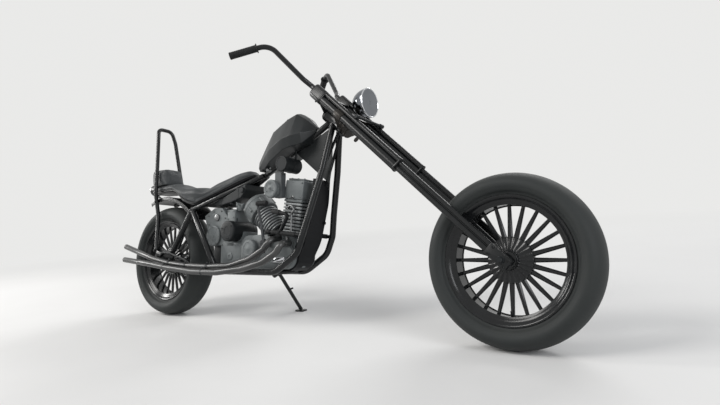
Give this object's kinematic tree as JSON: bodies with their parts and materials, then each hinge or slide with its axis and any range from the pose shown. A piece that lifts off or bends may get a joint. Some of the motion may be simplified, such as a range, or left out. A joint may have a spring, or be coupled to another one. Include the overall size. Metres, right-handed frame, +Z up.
{
  "type": "chopper motorcycle",
  "caption": "Long-fork chopper motorcycle with a rigid tube frame, stepped seat, tall sissy bar, faceted fuel tank, finned V engine and side stand.",
  "frame": {"origin": "on the floor under the middle of the whole machine's bounding box, as it stands on its side stand", "axes": "+X forward, +Y to the rider's left, +Z up"},
  "size_m": [2.785, 0.7138, 1.4075],
  "materials": {
    "tyre": "matt black rubber, smooth",
    "wheel_black": "gloss black paint",
    "frame_black": "gloss near-black paint on tubes",
    "panel_black": "dark satin paint",
    "tank_paint": "satin charcoal paint",
    "engine_grey": "sandblasted grey casting",
    "engine_dark": "dark grey enamel",
    "steel": "bare steel",
    "exhaust_steel": "heat-browned steel",
    "tree_metal": "brownish bare metal",
    "chrome": "polished chrome",
    "lens": "grey lens",
    "seat_cover": "dark grey leather",
    "grip_rubber": "ribbed rubber"
  },
  "bodies": {
    "chassis": {"rear_axle": "steel", "steering_neck": "frame_black", "backbone": "frame_black", "cradle_left": "frame_black", "cradle_right": "frame_black", "neck_gusset": "tank_paint", "cross_tubes": "frame_black", "seat_rails": "frame_black", "upper_stays": "frame_black", "seat_posts": "frame_black", "chin_panel": "panel_black", "sissy_bar": "frame_black", "rear_fender": "frame_black", "tail_lamp": "frame_black", "oil_tank": "panel_black", "seat": "seat_cover", "backrest": "seat_cover", "fuel_tank": "tank_paint", "tank_cap": "tank_paint", "gearbox": "engine_grey", "crankcase": "engine_grey", "round_cover": "engine_grey", "starter_motor": "engine_dark", "front_cylinder": "engine_grey", "front_head": "engine_grey", "rear_cylinder": "engine_grey", "rear_head": "engine_grey", "coil_canister": "engine_dark", "intake_box": "engine_dark", "air_cleaner": "engine_grey", "kick_lever": "steel", "foot_controls": "frame_black", "rear_exhaust": "exhaust_steel", "front_exhaust": "exhaust_steel", "drive_chain": "steel", "drive_sprocket": "steel"},
    "fork": {"fork_leg_left": "frame_black", "fork_leg_right": "frame_black", "fork_cover_left": "frame_black", "fork_cover_right": "frame_black", "upper_tree": "frame_black", "lower_tree": "tree_metal", "handlebars": "frame_black", "grips": "grip_rubber", "headlight_shell": "chrome", "headlight_lens": "lens", "headlight_bracket": "steel", "front_axle": "steel"},
    "front_wheel": {"front_tyre": "tyre", "front_wheel": "wheel_black"},
    "rear_wheel": {"rear_tyre": "tyre", "rear_wheel": "wheel_black"},
    "side_stand": {"side_stand": "frame_black"}
  },
  "joints": [
    {"name": "steering", "type": "hinge", "parent": "chassis", "child": "fork", "pos_m": [0.17461, -0.0337, 1.04254], "axis": [-0.7385, 0.0938, 0.6677], "range_deg": [-30, 30]},
    {"name": "front_wheel_spin", "type": "hinge", "parent": "fork", "child": "front_wheel", "pos_m": [1.06258, -0.1341, 0.32812], "axis": [0, 0.9903, -0.1392], "continuous": true},
    {"name": "rear_wheel_spin", "type": "hinge", "parent": "chassis", "child": "rear_wheel", "pos_m": [-1.06258, -0.1341, 0.32812], "axis": [0, 0.9903, -0.1392], "continuous": true},
    {"name": "side_stand_fold", "type": "hinge", "parent": "chassis", "child": "side_stand", "pos_m": [-0.30258, 0.00696, 0.23962], "axis": [0, 0.9455, 0.3256], "range_deg": [0, 95]}
  ]
}
